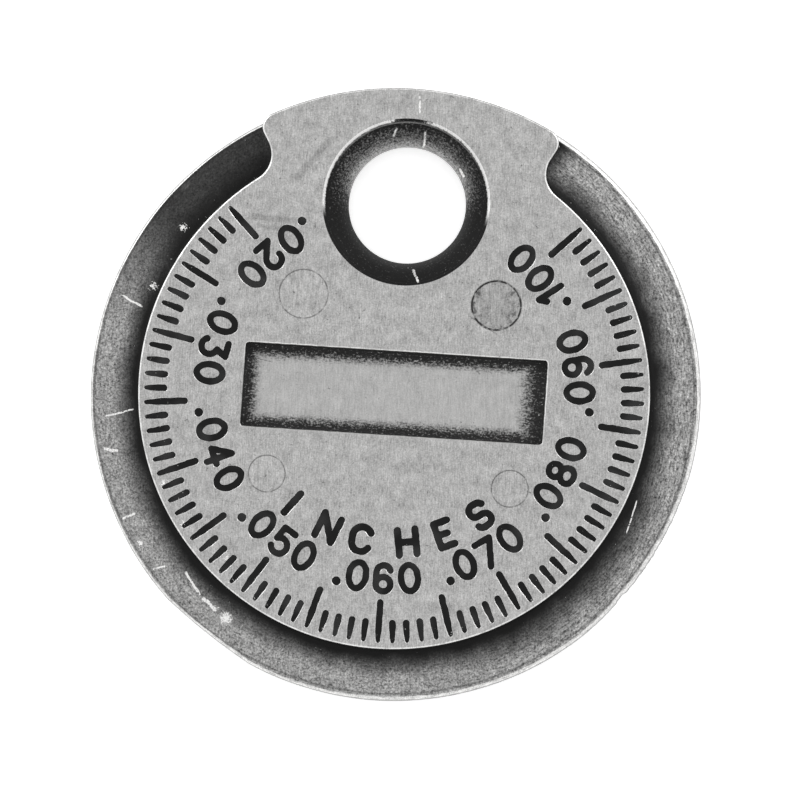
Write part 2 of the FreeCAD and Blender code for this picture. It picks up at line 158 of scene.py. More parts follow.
# Shares of the light that the surfaces give back, and other values of the looks
BLACK_FINISH = 0.012
RUBBED_METAL = 0.46
BRIGHTEST = 0.95
FILL_BLACK = 0.008
CHIPPED_FILL = (0.5, 0.5, 0.49, 1)
WARM_METAL = (1.0, 0.995, 0.985, 1)
BLACK = (0, 0, 0, 1)
WHITE = (1, 1, 1, 1)
BARE_GAIN = 2.0             # bare zinc beside the rubbed finish
# How bright the edges are made: partly rubbed metal, partly painted highlight
EDGE_GAIN = 1.95
INNER_EDGE_GAIN = 1.55
SPECULAR_LEVEL = 0.12
BUMP_HEIGHT = 0.02
BUMP_STRENGTH = 0.5
STUDIO_BRIGHTNESS = 0.86

# Camera and photograph framing
PHOTO_TURN = math.radians(3.7)      # the gauge is turned this far clockwise in the view
VIEW_RIGHT = math.tan(math.radians(1.7))
VIEW_DOWN = math.tan(math.radians(4.1))
CAMERA_DISTANCE = 0.470
FRAME_WIDTH = 0.04961                # what the view spans at the front face
AIM_RIGHT = 0.00038
AIM_DOWN = 0.00043


def polar(radius, angle):
    turn = math.radians(angle)
    return radius * math.cos(turn), radius * math.sin(turn)


def arc(centre, radius, start, end):
    """Points along an arc, without its last one."""
    length = abs(math.radians(end - start)) * radius
    count = max(3, math.ceil(length / POINT_SPACING))
    points = []
    for step in range(count):
        x, y = polar(radius, start + (end - start) * step / count)
        points.append((centre[0] + x, centre[1] + y))
    return points


def raised_outline():
    """Plan of the plateau and the tab, counterclockwise, a hair inside the frame's at the tab."""
    fillet_path = PLATEAU_RADIUS + CHANNEL_CORNER_RADIUS
    fillet_turn = math.degrees(math.asin(CHANNEL_CORNER_RADIUS / fillet_path))
    tab_radius = DISC_RADIUS - TAB_INSET
    corner_path = tab_radius - TAB_CORNER_RADIUS
    corner_turn = math.degrees(math.asin(TAB_CORNER_RADIUS / corner_path))
    right = 90 - TAB_HALF_ANGLE
    left = 90 + TAB_HALF_ANGLE
    left_fillet = polar(fillet_path, left + fillet_turn)
    right_fillet = polar(fillet_path, right - fillet_turn)
    left_corner = polar(corner_path, left - corner_turn)
    right_corner = polar(corner_path, right + corner_turn)
    fillet_sweep = 90 - fillet_turn
    return (
        arc((0, 0), tab_radius, right + corner_turn, left - corner_turn)
        + arc(left_corner, TAB_CORNER_RADIUS, left - corner_turn, left + 90)
        + arc(left_fillet, CHANNEL_CORNER_RADIUS, left - 90, left - 90 - fillet_sweep)
        + arc((0, 0), PLATEAU_RADIUS, left + fillet_turn, right - fillet_turn + 360)
        + arc(right_fillet, CHANNEL_CORNER_RADIUS, right + 90 + fillet_sweep, right + 90)
        + arc(right_corner, TAB_CORNER_RADIUS, right - 90, right + corner_turn)
    )


def even_outline(points, spacing):
    """The closed outline with its long edges divided to the spacing and its tiny ones left out."""
    kept = points[:1]
    for place in points[1:]:
        if min(math.dist(place, kept[-1]), math.dist(place, kept[0])) > SMALLEST_EDGE:
            kept.append(place)
    result = []
    for start, end in zip(kept, kept[1:] + kept[:1]):
        count = max(1, math.ceil(math.dist(start, end) / spacing))
        for step in range(count):
            share = step / count
            result.append(tuple(a + (b - a) * share for a, b in zip(start, end)))
    return result


def softened(points, times):
    """The closed outline with its corners eased, as a cutter leaves them."""
    for _ in range(times):
        points = [
            tuple(0.25 * a + 0.5 * b + 0.25 * c for a, b, c in zip(before, here, after))
            for before, here, after in zip(points[-1:] + points[:-1], points, points[1:] + points[:1])
        ]
    return points


def outward_normals(points):
    """Unit directions to the right of travel, away from the filled side."""
    normals = []
    for before, after in zip(points[-1:] + points[:-1], points[1:] + points[:1]):
        x, y = after[0] - before[0], after[1] - before[1]
        length = math.hypot(x, y) or 1.0
        normals.append((y / length, -x / length))
    return normals


def new_object(name, form):
    mesh = bpy.data.meshes.new(name)
    form.transform(Matrix.Scale(MM, 4))
    form.to_mesh(mesh)
    form.free()
    piece = bpy.data.objects.new(name, mesh)
    bpy.context.scene.collection.objects.link(piece)
    return piece


def signed_area(loop):
    """Area of a loop, negative where it runs clockwise, as round a hole."""
    return 0.5 * sum(
        x0 * y1 - x1 * y0
        for (x0, y0), (x1, y1) in zip(loop, loop[1:] + loop[:1])
    )


def islands(loops):
    """Each outer loop with the holes inside it."""
    outers = [loop for loop in loops if signed_area(loop) > 0]
    groups = {id(outer): [outer] for outer in outers}
    for hole in loops:
        if signed_area(hole) < 0:
            around = min(outers, key=lambda outer: min(math.dist(hole[0], place) for place in outer))
            groups[id(around)].append(hole)
    return list(groups.values())


def island_triangles(loops, inner):
    """Triangles that fill an outer loop round its holes, as numbers of the points in order.

    The inner points split the face into small parts.
    """
    places = [Vector(place) for loop in loops for place in loop]
    loop_number = [number for number, loop in enumerate(loops) for _ in loop]
    places += [Vector(place) for place in inner]
    loop_number += [-1 - number for number in range(len(inner))]
    edges = []
    for loop in loops:
        first = len(edges)
        edges += [(first + i, first + (i + 1) % len(loop)) for i in range(len(loop))]
    triangles = []
    for triangle in delaunay_2d_cdt(places, edges, [], INSIDE_EDGES, 1e-7)[2]:
        a, b, c = sorted(triangle)
        turn = (places[b] - places[a]).cross(places[c] - places[a])
        if loop_number[a] != loop_number[c] or turn > 0:    # not inside a hole or outside the outer loop
            triangles.append((a, b, c) if turn > 0 else (a, c, b))
    return triangles


def close_cap(form, rings, triangles, inner, facing):
    """Flat face over an outer ring of points and its holes, turned up or down."""
    if not triangles:
        form.faces.new(rings[0][::facing])
        return
    height = rings[0][0].co.z
    corners = [corner for ring in rings for corner in ring]
    corners += [form.verts.new((x, y, height)) for x, y in inner]
    for triangle in triangles:
        form.faces.new([corners[i] for i in triangle[::facing]])


def level_ring(form, loop, normals, height, offset, raggedness):
    """Points of one level of a prism, moved outwards and a little to and fro."""
    ring = []
    for (x, y), (nx, ny) in zip(loop, normals):
        reach = offset + raggedness * noise.noise((x * WAVES_PER_MM, y * WAVES_PER_MM, height))
        ring.append(form.verts.new((x + nx * reach, y + ny * reach, height)))
    return ring


def skin(form, rings):
    """Upright faces between rings of equal length, from the lowest to the highest."""
    for lower, upper in zip(rings, rings[1:]):
        for i in range(len(lower)):
            j = (i + 1) % len(lower)
            form.faces.new((lower[i], lower[j], upper[j], upper[i]))


def add_prism(form, loops, levels, raggedness=0.0, inner=()):
    """Closed upright solids between loops, whose levels give (height, outward offset)."""
    for island in islands(loops):
        triangles = island_triangles(island, inner) if inner or len(island) > 1 else []
        bottoms = []
        tops = []
        for loop in island:
            normals = softened(outward_normals(loop), NORMAL_EASING) if raggedness else outward_normals(loop)
            most = HOLLOW_LIP if signed_area(loop) < 0 else math.inf
            rings = [
                level_ring(form, loop, normals, height, min(offset, most), raggedness)
                for height, offset in levels
            ]
            skin(form, rings)
            bottoms.append(rings[0])
            tops.append(rings[-1])
        close_cap(form, bottoms, triangles, inner, -1)
        close_cap(form, tops, triangles, inner, 1)


def quarter_round(height, radius, upwards):
    """Levels of a rounded edge, from the flat face to the wall or back."""
    levels = []
    for step in range(ROUND_STEPS + 1):
        turn = 0.5 * math.pi * step / ROUND_STEPS
        rise = radius * (1 - math.cos(turn))
        levels.append((height + (rise if upwards else -rise), -radius * (1 - math.sin(turn))))
    return levels


def grid_on_plateau():
    """Even points well inside the plateau and the tab."""
    count = math.floor(DISC_RADIUS / GRID_SPACING)
    points = []
    for column in range(-count, count + 1):
        for row in range(-count, count + 1):
            x = column * GRID_SPACING
            y = row * GRID_SPACING
            radius = math.hypot(x, y)
            within_tab = abs(math.atan2(x, y)) < math.radians(TAB_HALF_ANGLE - GRID_MARGIN_ANGLE)
            limit = DISC_RADIUS if within_tab else PLATEAU_RADIUS
            if radius < limit - GRID_MARGIN:
                points.append((x, y))
    return points


def plateau():
    """Plateau and tab at full height, with worn round edges."""
    form = bmesh.new()
    lower = quarter_round(0.0, EDGE_ROUND, True)
    upper = quarter_round(THICKNESS, EDGE_ROUND, False)
    add_prism(form, [raised_outline()], lower + upper[::-1], inner=grid_on_plateau())
    return new_object("plateau", form)


def ramp_height(angle):
    return BACK_RELIEF + FIRST_MARK_THICKNESS + (angle - FIRST_MARK_ANGLE) * CLIMB_PER_DEGREE


def bite(angle, start, end, depth):
    """Depth of a worn stretch of the rim that fades towards its ends."""
    if not start < angle < end:
        return 0.0
    return depth * math.sin(math.pi * (angle - start) / (end - start)) ** 0.7


def rim_radius(angle):
    """Outer radius, with a dent, a small notch and one rough stretch."""
    turn = math.radians(angle)
    wobble = noise.fractal((4 * math.cos(turn), 4 * math.sin(turn), 0.5), 1.0, 2.0, 4)
    rough = noise.noise((60 * math.cos(turn), 60 * math.sin(turn), 2.0))
    dent = bite(angle, 226.0, 245.0, 0.15)
    notch = bite(angle, 320.5, 323.0, 0.10)
    filed = bite(angle, 312.0, 348.0, 0.09) * (1 + 0.8 * rough)
    return DISC_RADIUS - RIM_INSET + RIM_WOBBLE * wobble - dent - notch - filed


def rim_profile(angle):
    """Section of the rim at an angle, as (radius, height) counterclockwise."""
    top = ramp_height(angle)
    outer = rim_radius(angle)
    inner = PLATEAU_RADIUS - RIM_OVERLAP
    growth = min(1.0, max(0.0, (angle - RIM_GROWTH_START) / RIM_GROWTH_SPAN))
    upper_round = RIM_EDGE_ROUND * (RIM_LEAST_ROUND + (1 - RIM_LEAST_ROUND) * growth)
    foot = outer - WALL_DRAFT * growth
    shoulder = outer - THIN_END_FLARE * (1 - growth)
    points = [(inner, BACK_RELIEF)]
    for step in range(ROUND_STEPS + 1):
        turn = 0.5 * math.pi * step / ROUND_STEPS
        points.append((
            foot - RIM_LOWER_ROUND * (1 - math.sin(turn)),
            BACK_RELIEF + RIM_LOWER_ROUND * (1 - math.cos(turn)),
        ))
    for step in range(2 * ROUND_STEPS + 1):
        turn = 0.5 * math.pi * step / (2 * ROUND_STEPS)
        points.append((
            shoulder - upper_round * (1 - math.cos(turn)),
            top - upper_round * (1 - math.sin(turn)),
        ))
    points.append((inner, top))
    return points


def close_sweep(form, rings):
    """Closed solid through a row of equal sections."""
    for before, after in zip(rings, rings[1:]):
        for i in range(len(before)):
            j = (i + 1) % len(before)
            form.faces.new((before[i], after[i], after[j], before[j]))
    form.faces.new(rings[0])
    form.faces.new(rings[-1][::-1])
    bmesh.ops.recalc_face_normals(form, faces=form.faces)


def rim():
    """Ramp rim whose ends are buried in the tab."""
    start = 90 + TAB_HALF_ANGLE - RIM_BURIED_ANGLE
    end = 450 - TAB_HALF_ANGLE + RIM_BURIED_ANGLE
    count = math.ceil(math.radians(end - start) * DISC_RADIUS / POINT_SPACING)
    form = bmesh.new()
    rings = []
    for step in range(count + 1):
        angle = start + (end - start) * step / count
        rings.append([
            form.verts.new((*polar(radius, angle), height))
            for radius, height in rim_profile(angle)
        ])
    close_sweep(form, rings)
    return new_object("rim", form)


def foot_fillet():
    """Concave fillet between the ramp and the wall of the plateau, fading out at the tab's corners."""
    outline = raised_outline()
    normals = outward_normals(outline)
    path = []
    for (x, y), normal in zip(outline, normals):
        angle = math.degrees(math.atan2(y, x)) % 360
        if angle < 90:
            angle += 360
        radius = math.hypot(x, y)
        from_end = DISC_RADIUS - FOOT_END_INSET - radius
        if from_end > 0:
            path.append(((x, y), normal, angle, min(1.0, from_end / FOOT_FADE_LENGTH)))
    behind = 0.3
    below = 0.2
    form = bmesh.new()
    rings = []
    for (x, y), (nx, ny), angle, share in path:
        size = max(0.02, FOOT_ROUND * share)
        floor = ramp_height(angle)
        section = [(-behind, -below), (size, -below)]
        for step in range(ROUND_STEPS + 2):
            turn = 0.5 * math.pi * step / (ROUND_STEPS + 1)
            section.append((size * (1 - math.sin(turn)), size * (1 - math.cos(turn))))
        section.append((-behind, size))
        rings.append([
            form.verts.new((x + nx * out, y + ny * out, min(floor + up, THICKNESS - 0.2)))
            for out, up in section
        ])
    close_sweep(form, rings)
    return new_object("foot_fillet", form)


def curve_between(start, control, end, count):
    """Points of a smooth curve pulled towards its control point."""
    points = []
    for step in range(count + 1):
        t = step / count
        points.append(tuple(
            (1 - t) ** 2 * a + 2 * t * (1 - t) * b + t ** 2 * c
            for a, b, c in zip(start, control, end)
        ))
    return points


def add_turned(form, profile, centre):
    """Closed solid turned about an upright axis from (radius, height) points, low to high."""
    count = math.ceil(2 * math.pi * max(radius for radius, _ in profile) / POINT_SPACING)
    rings = []
    for radius, height in profile:
        ring = []
        for step in range(count):
            x, y = polar(radius, 360.0 * step / count)
            ring.append(form.verts.new((centre[0] + x, centre[1] + y, height)))
        rings.append(ring)
    skin(form, rings)
    form.faces.new(rings[0][::-1])
    form.faces.new(rings[-1])


def add_hole(form):
    """Keyring hole: back mouth, land, and a front mouth with a fine step below its worn rim."""
    past = 0.3              # reaches beyond the faces that it cuts
    step_radius = HOLE_FRONT_RADIUS - HOLE_STEP_INSET
    step_height = THICKNESS - HOLE_STEP_DEPTH
    back = curve_between(
        (HOLE_BACK_RADIUS, 0.0), HOLE_BACK_PULL, (HOLE_LAND_RADIUS, HOLE_LAND_BOTTOM), 10)
    front = curve_between(
        (HOLE_LAND_RADIUS, HOLE_LAND_TOP), HOLE_FRONT_PULL, (step_radius - 0.05, step_height), 18)
    rim_edge = [
        (step_radius, step_height + 0.02),
        (HOLE_FRONT_RADIUS - HOLE_EDGE_WIDTH, THICKNESS - 0.11),
        (HOLE_FRONT_RADIUS - 0.4 * HOLE_EDGE_WIDTH, THICKNESS - 0.05),
        (HOLE_FRONT_RADIUS + 0.03, THICKNESS),
        (HOLE_FRONT_RADIUS + past, THICKNESS + past),
    ]
    add_turned(form, [(HOLE_BACK_RADIUS + past, -past)] + back + front + rim_edge, (0, HOLE_Y))


def add_pocket(form):
    """Long pocket with a filleted foot, slightly drafted walls and a worn edge."""
    corner = POCKET_CORNER_RADIUS
    x = POCKET_HALF_LENGTH - corner
    y = POCKET_HALF_WIDTH - corner
    outline = (
        arc((x, y), corner, 0, 90) + arc((-x, y), corner, 90, 180)
        + arc((-x, -y), corner, 180, 270) + arc((x, -y), corner, 270, 360)
    )
    floor = THICKNESS - POCKET_DEPTH
    levels = quarter_round(floor, POCKET_FOOT_RADIUS, True)
    levels += [
        (THICKNESS - 0.07, 0.02),
        (THICKNESS - 0.025, 0.05),
        (THICKNESS, POCKET_LIP),
        (THICKNESS + 0.1, POCKET_LIP + 0.3),
    ]
    add_prism(form, [even_outline(outline, POCKET_SPACING)], levels, POCKET_RAGGEDNESS)


def add_pin_marks(form):
    """Shallow round prints of the ejector pins, with flared walls."""
    for x, y, radius in PIN_MARKS:
        deeper = DEEPER_PIN_MARK if x > 0 else 0.0
        floor = THICKNESS - PIN_MARK_DEPTH - deeper
        add_turned(form, [(radius - 0.01, floor), (radius + 0.04, THICKNESS + 0.05)], (x, y))


def mark_loops(node, front):
    """Outlines of a fill's solids, read off the face that shows, counterclockwise from the front."""
    form = bmesh.new()
    form.from_mesh(node.data)
    bmesh.ops.remove_doubles(form, verts=form.verts, dist=1e-7)
    facing = 1 if front else -1
    shown = [face for face in form.faces if face.normal.z * facing > 0.9]
    is_shown = set(shown)
    following = {}
    for face in shown:
        for corner in face.loops:
            if sum(other in is_shown for other in corner.edge.link_faces) == 1:
                following[corner.vert] = corner.link_loop_next.vert
    outlines = []
    while following:
        start, after = following.popitem()
        loop = [start]
        while after is not start:
            loop.append(after)
            after = following.pop(after)
        points = [(vert.co.x / MM, vert.co.y / MM) for vert in loop]
        points = points if front else points[::-1]
        outlines.append(softened(even_outline(points, MARK_SPACING), CORNER_PASSES))
    form.free()
    return outlines


def add_groove(form, loops, front):
    """Space of a mark, with a worn lip where it meets the face."""
    growth = MARK_GROWTH if front else 0.0
    lip = MARK_LIP if front else BACK_MARK_LIP
    levels = [(ENGRAVING_DEPTH, growth), (FILL_SINK + 0.008, growth), (0.0, lip), (-0.03, lip)]
    add_marked_prism(form, loops, levels, front)


def add_fill(form, loops, front):
    """Black fill that reaches the walls of its mark and stands a little below the face."""
    growth = MARK_GROWTH if front else 0.0
    levels = [
        (ENGRAVING_DEPTH - 0.01, growth - 0.01),
        (FILL_SINK + 0.008, growth),
        (FILL_SINK, growth + 0.006),
        (FILL_SINK - 0.004, growth - 0.03),
    ]
    add_marked_prism(form, loops, levels, front)


def add_marked_prism(form, loops, levels, front):
    """Prism whose levels are depths below the front face or the back one."""
    if front:
        heights = [(THICKNESS - depth, offset) for depth, offset in levels]
    else:
        heights = [(depth, offset) for depth, offset in levels[::-1]]
    add_prism(form, loops, heights, MARK_RAGGEDNESS)


def combine(base, other, operation):
    """The base mesh with another solid joined to it or cut from it."""
    cut = base.modifiers.new("combine", "BOOLEAN")
    cut.solver = "MANIFOLD"
    cut.operation = operation
    cut.object = other
    graph = bpy.context.evaluated_depsgraph_get()
    mesh = bpy.data.meshes.new_from_object(base.evaluated_get(graph))
    mesh.materials.clear()
    base.modifiers.clear()
    base.data = mesh
    bpy.data.objects.remove(other)


def sharpen_flat_faces(mesh):
    """Marks the edges round level faces sharp, so that their shading stays flat."""
    form = bmesh.new()
    form.from_mesh(mesh)
    for edge in form.edges:
        level = [abs(face.normal.z) > 0.9999 for face in edge.link_faces]
        if any(level) and not all(level):
            edge.smooth = False
    form.to_mesh(mesh)
    form.free()


def finish_surface(piece):
    """Smooth shading that keeps flat faces flat and real corners sharp."""
    for face in piece.data.polygons:
        face.use_smooth = True
    piece.data.set_sharp_from_angle(angle=math.radians(SHARP_ANGLE))
    sharpen_flat_faces(piece.data)
    flat = piece.modifiers.new("flat_faces", "WEIGHTED_NORMAL")
    flat.keep_sharp = True


def casting(marks):
    """The whole zinc casting, with every mark cut into it."""
    body = plateau()
    body.name = "zinc_casting"
    combine(body, rim(), "UNION")
    combine(body, foot_fillet(), "UNION")
    spaces = bmesh.new()
    add_hole(spaces)
    add_pocket(spaces)
    add_pin_marks(spaces)
    for loops, front in marks.values():
        add_groove(spaces, loops, front)
    combine(body, new_object("spaces", spaces), "DIFFERENCE")
    finish_surface(body)
    return body


def fill_piece(name, loops, front):
    """The black fill of one node's marks."""
    form = bmesh.new()
    add_fill(form, loops, front)
    piece = new_object(f"{name}_wiped", form)
    finish_surface(piece)
    return piece


class Graph:
    """A material's nodes, joined so that the code reads as a formula."""

    def __init__(self, name):
        self.material = bpy.data.materials.new(name)
        self.material.use_nodes = True
        self.tree = self.material.node_tree
        self.tree.nodes.clear()
        self.shader = self.tree.nodes.new("ShaderNodeBsdfPrincipled")
        output = self.tree.nodes.new("ShaderNodeOutputMaterial")
        self.tree.links.new(self.shader.outputs["BSDF"], output.inputs["Surface"])
        where = self.tree.nodes.new("ShaderNodeTexCoord")
        scaled = self.tree.nodes.new("ShaderNodeVectorMath")
        scaled.operation = "SCALE"
        scaled.inputs["Scale"].default_value = 1 / MM
        self.tree.links.new(where.outputs["Object"], scaled.inputs[0])
        self.position = scaled.outputs[0]
        parts = self.tree.nodes.new("ShaderNodeSeparateXYZ")
        self.tree.links.new(self.position, parts.inputs[0])
        self.x, self.y, self.z = parts.outputs

    def feed(self, socket, value):
        if isinstance(value, bpy.types.NodeSocket):
            self.tree.links.new(value, socket)
        else:
            socket.default_value = value

    def math(self, operation, *values, clamp=False):
        node = self.tree.nodes.new("ShaderNodeMath")
        node.operation = operation
        node.use_clamp = clamp
        for socket, value in zip(node.inputs, values):
            self.feed(socket, value)
        return node.outputs[0]

    def add(self, a, b):
        return self.math("ADD", a, b)

    def subtract(self, a, b):
        return self.math("SUBTRACT", a, b)

    def multiply(self, a, b):
        return self.math("MULTIPLY", a, b)

    def both(self, a, b):
        """The smaller number, which is high only where both are."""
        return self.math("MINIMUM", a, b)

    def either(self, a, b):
        """The larger number, which is high where either is."""
        return self.math("MAXIMUM", a, b)

    def step(self, value, low, high, to_low=0.0, to_high=1.0):
        """Smooth rise from to_low to to_high as value goes from low to high."""
        node = self.tree.nodes.new("ShaderNodeMapRange")
        node.interpolation_type = "SMOOTHSTEP"
        for socket, number in zip(node.inputs, (value, low, high, to_low, to_high)):
            self.feed(socket, number)
        return node.outputs[0]

    def mix(self, factor, a, b):
        """Number a where factor is 0 and b where it is 1."""
        node = self.tree.nodes.new("ShaderNodeMix")
        for socket, value in zip((node.inputs[0], node.inputs[2], node.inputs[3]), (factor, a, b)):
            self.feed(socket, value)
        return node.outputs[0]

    def mix_color(self, factor, a, b):
        node = self.tree.nodes.new("ShaderNodeMix")
        node.data_type = "RGBA"
        for socket, value in zip((node.inputs[0], node.inputs[6], node.inputs[7]), (factor, a, b)):
            self.feed(socket, value)
        return node.outputs[2]

    def noise(self, size, detail=2.0, roughness=0.5, stretch=(1, 1, 1), turn=0.0, where=None):
        """Noise from 0 to 1 whose blobs are about size millimetres, longer along stretched axes."""
        mapping = self.tree.nodes.new("ShaderNodeMapping")
        mapping.vector_type = "TEXTURE"
        mapping.inputs["Rotation"].default_value = (0, 0, turn)
        mapping.inputs["Scale"].default_value = [size * amount for amount in stretch]
        self.tree.links.new(where or self.position, mapping.inputs["Vector"])
        node = self.tree.nodes.new("ShaderNodeTexNoise")
        node.inputs["Scale"].default_value = 1.0
        node.inputs["Detail"].default_value = detail
        node.inputs["Roughness"].default_value = roughness
        self.tree.links.new(mapping.outputs[0], node.inputs["Vector"])
        return node.outputs[0]

    def distance_from(self, x, y):
        across = self.subtract(self.x, x)
        along = self.subtract(self.y, y)
        return self.math("SQRT", self.add(self.multiply(across, across), self.multiply(along, along)))

    def sweep(self):
        """Angle round the gauge in degrees, from 90 at the tab all the way round to 450."""
        turn = self.math("ARCTAN2", self.x, self.multiply(self.y, -1.0))
        return self.add(self.multiply(turn, math.degrees(1.0)), 270.0)

    def round_the_disc(self):
        """Place given as the length round the rim, the distance from the middle and the height."""
        node = self.tree.nodes.new("ShaderNodeCombineXYZ")
        along = self.multiply(self.sweep(), math.radians(DISC_RADIUS))
        for socket, value in zip(node.inputs, (along, self.distance_from(0, 0), self.z)):
            self.feed(socket, value)
        return node.outputs[0]

    def facing_up(self):
        """Height of the surface's own normal: 1 on the front face, 0 on an upright wall."""
        geometry = self.tree.nodes.new("ShaderNodeNewGeometry")
        turned = self.tree.nodes.new("ShaderNodeVectorTransform")
        turned.vector_type = "NORMAL"
        turned.convert_from = "WORLD"
        turned.convert_to = "OBJECT"
        self.tree.links.new(geometry.outputs["Normal"], turned.inputs[0])
        parts = self.tree.nodes.new("ShaderNodeSeparateXYZ")
        self.tree.links.new(turned.outputs[0], parts.inputs[0])
        return parts.outputs["Z"]

    def scratch(self, start, end, width, waver, breaks):
        """1 on a thin wavering line between two places, broken up and thin at its ends."""
        line = self.tree.nodes.new("ShaderNodeMapping")
        line.vector_type = "TEXTURE"
        line.inputs["Location"].default_value = (*start, 0)
        line.inputs["Rotation"].default_value = (0, 0, math.atan2(end[1] - start[1], end[0] - start[0]))
        line.inputs["Scale"].default_value = (math.dist(start, end), width / 2, 1)
        self.tree.links.new(self.position, line.inputs["Vector"])
        parts = self.tree.nodes.new("ShaderNodeSeparateXYZ")
        self.tree.links.new(line.outputs[0], parts.inputs[0])
        along, across, _ = parts.outputs
        off_line = self.math("ABSOLUTE", self.add(across, waver))
        off_middle = self.math("ABSOLUTE", self.subtract(along, 0.5))
        on_line = self.step(off_line, 0.4, 1.2, 1.0, 0.0)
        between_ends = self.step(off_middle, 0.3, 0.5, 1.0, 0.0)
        return self.multiply(self.multiply(on_line, between_ends), breaks)

    def scratches(self, lines, waviness, least):
        """Up to 1 on any of the scratches, and no less than least where they are broken up."""
        waver = self.multiply(self.subtract(self.noise(0.5), 0.5), waviness)
        breaks = self.step(self.noise(0.14, 3.0, 0.6), 0.36, 0.48, least, 1.0)
        total = 0.0
        for start, end, width in lines:
            total = self.either(total, self.scratch(start, end, width, waver, breaks))
        return total

    def bump(self, height, distance_mm, strength):
        node = self.tree.nodes.new("ShaderNodeBump")
        node.inputs["Strength"].default_value = strength
        node.inputs["Distance"].default_value = distance_mm * MM
        self.tree.links.new(height, node.inputs["Height"])
        self.tree.links.new(node.outputs[0], self.shader.inputs["Normal"])

    def set(self, **values):
        """Feeds the shader's sockets, named with _ for a space."""
        for name, value in values.items():
            self.feed(self.shader.inputs[name.replace("_", " ")], value)


def outer_edge_width(g, angle):
    """How far the rim's worn outer edge reaches inwards, which grows with the ramp."""
    growth = g.math("DIVIDE", g.subtract(angle, RIM_GROWTH_START), RIM_GROWTH_SPAN, clamp=True)
    share = g.add(RIM_LEAST_ROUND, g.multiply(growth, 1 - RIM_LEAST_ROUND))
    return g.add(g.multiply(share, RIM_EDGE_ROUND), g.multiply(g.subtract(1.0, growth), THIN_END_FLARE))


def ramp_rub(g, speckle, streaks, patchy):
    """Rub on the ramp: black beside the plateau's wall and at the thin end, brighter outwards."""
    angle = g.sweep()
    from_wall = g.subtract(g.distance_from(0, 0), PLATEAU_RADIUS)
    from_tab = g.multiply(g.subtract(450 - TAB_HALF_ANGLE, angle), math.radians(DISC_RADIUS - 1.5))
    from_side = g.both(from_wall, g.add(from_tab, 0.25))
    dull_stretch = g.multiply(g.step(angle, 283, 302), g.step(angle, 335, 352, 1.0, 0.0))
    start = g.add(0.26, g.multiply(patchy, 0.9))
    width = g.add(1.5, g.multiply(dull_stretch, 0.6))
    inwards = g.math("DIVIDE", g.subtract(from_side, start), width, clamp=True)
    rubbed = g.multiply(g.math("POWER", inwards, 1.5), g.step(angle, 143, 172, 0.08, 0.74))
    streaky = g.multiply(g.subtract(streaks, 0.5), g.step(angle, 280, 310, 1.2, 3.2))
    uneven = g.add(g.add(1.0, streaky), g.multiply(g.subtract(speckle, 0.5), 4.4))
    pitted = g.step(g.noise(0.17, 3.0, 0.7), 0.33, 0.40, 0.45, 1.0)
    edge_starts = g.subtract(DISC_RADIUS - PLATEAU_RADIUS - 0.07, outer_edge_width(g, angle))
    from_edge = g.math("ABSOLUTE", g.subtract(edge_starts, from_wall))
    groove = g.step(from_edge, 0.02, 0.10, 0.6, 1.0)
    return g.multiply(g.multiply(rubbed, g.multiply(groove, pitted)), g.either(uneven, 0.1))


def disc_edge_rub_and_highlight(g, streaks, slope):
    """Rub on the disc's outer edge, partly bare metal and partly painted highlight: bright where its round
    part turns upwards, greyer on the wall and at the tab.
    """
    # partly painted highlight: the round edge is made brighter the more it faces upwards, dimmer on the wall
    bright = g.step(slope, 0.35, 0.85, 0.62, 1.75)
    worn = g.add(1.0, g.multiply(g.subtract(streaks, 0.5), 1.6))
    below_tab = g.step(g.subtract(THICKNESS, g.z), 0.25, 0.4, 0.5, 1.0)
    return g.multiply(g.multiply(worn, bright), below_tab)


def channel_rub_and_highlight(g, speckle):
    """Rub on the ramp and on the disc's outer edge, in streaks that run round the disc; the outer edge's
    brightness is partly painted highlight.
    """
    patchy = g.subtract(g.noise(2.2, 2.0), 0.5)
    streaks = g.noise(0.1, 4.0, 0.65, stretch=(6, 1, 1), where=g.round_the_disc())
    slope = g.add(g.facing_up(), g.multiply(patchy, 0.15))
    near_outside = g.math("GREATER_THAN", g.distance_from(0, 0), DISC_RADIUS - 0.6)
    on_edge = g.multiply(g.step(slope, 0.88, 0.98, 1.0, 0.0), near_outside)
    return g.mix(on_edge, ramp_rub(g, speckle, streaks, patchy), disc_edge_rub_and_highlight(g, streaks, slope))


def hole_rub_and_highlight(g, speckle):
    """Rub in the keyring hole: some near the throat on its upper side. Two stretches of the rim at the upper
    left and right carry a painted highlight.
    """
    from_axis = g.distance_from(0, HOLE_Y)
    upwards = g.math("DIVIDE", g.subtract(g.y, HOLE_Y), from_axis)
    sideways = g.math("ABSOLUTE", g.math("DIVIDE", g.x, from_axis))
    near_throat = g.subtract(1.0, g.math("DIVIDE", g.subtract(from_axis, HOLE_LAND_RADIUS), 1.6))
    upper_side = g.step(upwards, -0.35, 0.5, 0.12, 1.0)
    spread = g.add(g.multiply(near_throat, upper_side), g.multiply(g.subtract(speckle, 0.5), 3.0))
    throat = g.step(spread, 0.25, 1.45)
    from_step = g.math("ABSOLUTE", g.subtract(from_axis, HOLE_FRONT_RADIUS - HOLE_STEP_INSET))
    lip = g.multiply(
        g.step(from_step, 0.02, 0.06, 1.0, 0.0),
        g.step(upwards, 0.3, 0.8, 0.0, 0.45),
    )
    ragged = g.multiply(g.subtract(speckle, 0.5), 0.5)
    # painted highlight: the rim's edge is made bright on two stretches at its upper left and right
    painted_highlight_arcs = g.multiply(g.step(upwards, -0.25, 0.0), g.step(g.add(sideways, ragged), 0.15, 0.3))
    rim_start = HOLE_FRONT_RADIUS - HOLE_EDGE_WIDTH
    frayed = g.add(from_axis, g.multiply(g.subtract(speckle, 0.5), 0.22))
    rim_edge = g.multiply(g.step(frayed, rim_start - 0.02, rim_start + 0.02), painted_highlight_arcs)
    return g.either(g.either(throat, lip), g.multiply(rim_edge, 2.1))


